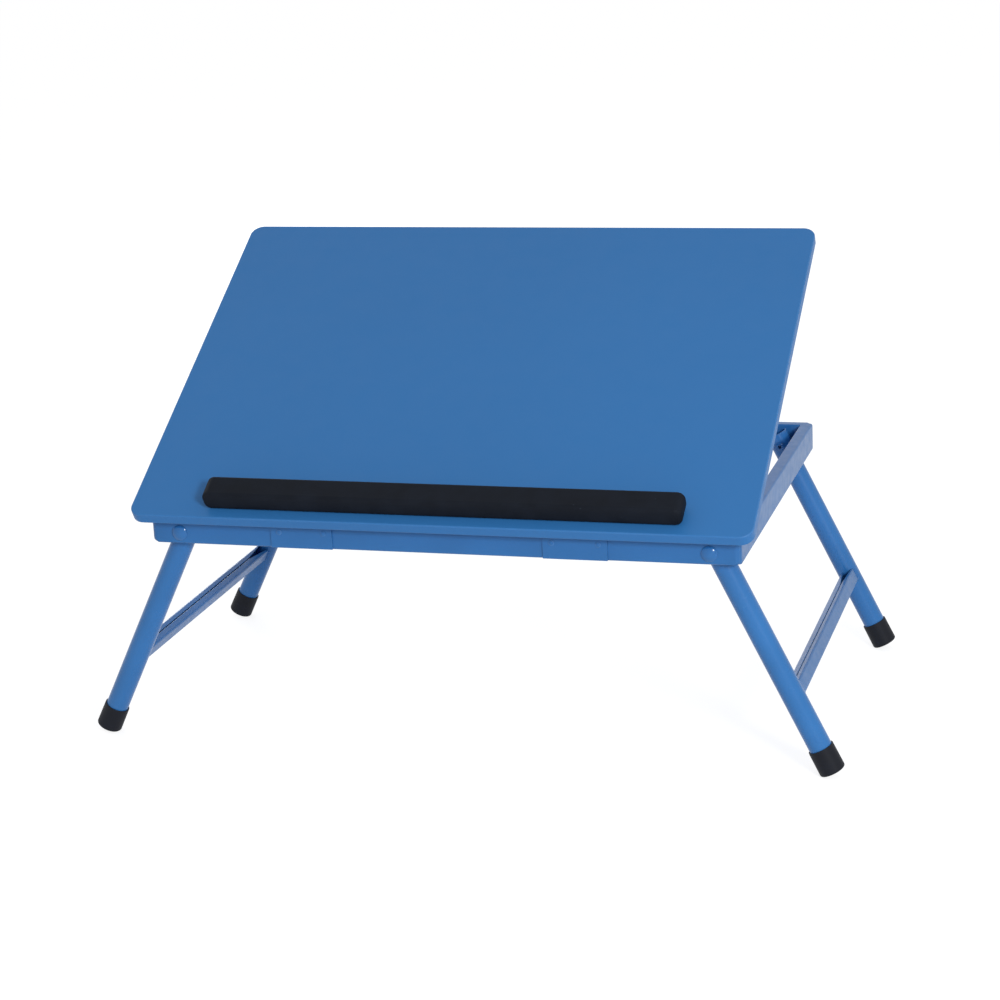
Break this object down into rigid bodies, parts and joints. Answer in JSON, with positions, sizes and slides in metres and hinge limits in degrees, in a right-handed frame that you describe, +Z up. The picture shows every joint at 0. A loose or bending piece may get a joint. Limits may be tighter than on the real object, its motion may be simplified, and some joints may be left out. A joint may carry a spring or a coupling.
{
  "type": "folding laptop table",
  "caption": "Low bed-tray laptop table: rounded board hinged to tilt on a rectangular-tube frame, stopper bar along its front edge, splayed round-tube legs that fold inward in pairs.",
  "frame": {"origin": "on the floor, under the middle of the table's overall box with the board raised", "axes": "+X to the user's right along the table's width, +Y away from the user towards the raised rear edge, +Z up"},
  "size_m": [0.7454, 0.4271, 0.4485],
  "materials": {
    "board_paint": "blue paint on a fibreboard top, satin",
    "frame_paint": "blue stoved paint on steel, satin",
    "black_rubber": "black moulded rubber, matt",
    "zinc_steel": "bright zinc-plated steel"
  },
  "bodies": {
    "frame": {"front_rail": "frame_paint", "back_rail": "frame_paint", "left_side_rail": "frame_paint", "right_side_rail": "frame_paint", "front_left_leg_rivet": "frame_paint", "front_left_leg_washer": "zinc_steel", "front_right_leg_rivet": "frame_paint", "front_right_leg_washer": "zinc_steel", "back_left_leg_rivet": "frame_paint", "back_left_leg_washer": "zinc_steel", "back_right_leg_rivet": "frame_paint", "back_right_leg_washer": "zinc_steel", "left_hinge_fixed_leaf": "frame_paint", "left_hinge_pin": "zinc_steel", "left_hinge_rivet_1": "frame_paint", "left_hinge_rivet_2": "frame_paint", "left_stay_stud": "zinc_steel", "right_hinge_fixed_leaf": "frame_paint", "right_hinge_pin": "zinc_steel", "right_hinge_rivet_1": "frame_paint", "right_hinge_rivet_2": "frame_paint", "right_stay_stud": "zinc_steel"},
    "board": {"board": "board_paint", "stopper_bar": "black_rubber", "stopper_screw_1": "zinc_steel", "stopper_screw_2": "zinc_steel", "stopper_screw_3": "zinc_steel", "left_hinge_moving_leaf": "frame_paint", "left_hinge_screw_1": "zinc_steel", "left_hinge_screw_2": "zinc_steel", "left_stay_bracket": "zinc_steel", "left_bracket_screw_1": "zinc_steel", "left_bracket_screw_2": "zinc_steel", "left_stay_pin": "zinc_steel", "right_hinge_moving_leaf": "frame_paint", "right_hinge_screw_1": "zinc_steel", "right_hinge_screw_2": "zinc_steel", "right_stay_bracket": "zinc_steel", "right_bracket_screw_1": "zinc_steel", "right_bracket_screw_2": "zinc_steel", "right_stay_pin": "zinc_steel"},
    "left_legs": {"front_left_leg": "frame_paint", "back_left_leg": "frame_paint", "front_left_foot": "black_rubber", "back_left_foot": "black_rubber", "left_crossbar": "frame_paint"},
    "left_lower_link": {"left_stay_lower_link": "zinc_steel", "left_stay_elbow_rivet": "zinc_steel"},
    "left_upper_link": {"left_stay_upper_link": "zinc_steel"},
    "right_legs": {"front_right_leg": "frame_paint", "back_right_leg": "frame_paint", "front_right_foot": "black_rubber", "back_right_foot": "black_rubber", "right_crossbar": "frame_paint"},
    "right_lower_link": {"right_stay_lower_link": "zinc_steel", "right_stay_elbow_rivet": "zinc_steel"},
    "right_upper_link": {"right_stay_upper_link": "zinc_steel"}
  },
  "joints": [
    {"name": "board_tilt", "type": "hinge", "parent": "frame", "child": "board", "pos_m": [0, -0.19683, 0.23364], "axis": [1, 0, 0], "range_deg": [-29.3, 0]},
    {"name": "left_leg_fold", "type": "hinge", "parent": "frame", "child": "left_legs", "pos_m": [-0.25669, 0.00827, 0.21754], "axis": [0, -1, 0], "range_deg": [0, 116.4]},
    {"name": "right_leg_fold", "type": "hinge", "parent": "frame", "child": "right_legs", "pos_m": [0.25669, 0.00827, 0.21754], "axis": [0, 1, 0], "range_deg": [0, 116.4]},
    {"name": "left_stay_lower_pivot", "type": "hinge", "parent": "frame", "child": "left_lower_link", "pos_m": [-0.27035, 0.01735, 0.21494], "axis": [1, 0, 0], "range_deg": [0, 5.9]},
    {"name": "left_stay_upper_pivot", "type": "hinge", "parent": "board", "child": "left_upper_link", "pos_m": [-0.26395, -0.0009, 0.32215], "axis": [1, 0, 0], "range_deg": [-5.9, 0]},
    {"name": "right_stay_lower_pivot", "type": "hinge", "parent": "frame", "child": "right_lower_link", "pos_m": [0.27035, 0.01735, 0.21494], "axis": [1, 0, 0], "range_deg": [0, 5.9]},
    {"name": "right_stay_upper_pivot", "type": "hinge", "parent": "board", "child": "right_upper_link", "pos_m": [0.26395, -0.0009, 0.32215], "axis": [1, 0, 0], "range_deg": [-5.9, 0]}
  ],
  "couplings": [
    {"joint": "left_stay_lower_pivot", "follows": "board_tilt", "ratio": -0.20093},
    {"joint": "left_stay_upper_pivot", "follows": "board_tilt", "ratio": 0.20093},
    {"joint": "right_stay_lower_pivot", "follows": "board_tilt", "ratio": -0.20093},
    {"joint": "right_stay_upper_pivot", "follows": "board_tilt", "ratio": 0.20093}
  ]
}
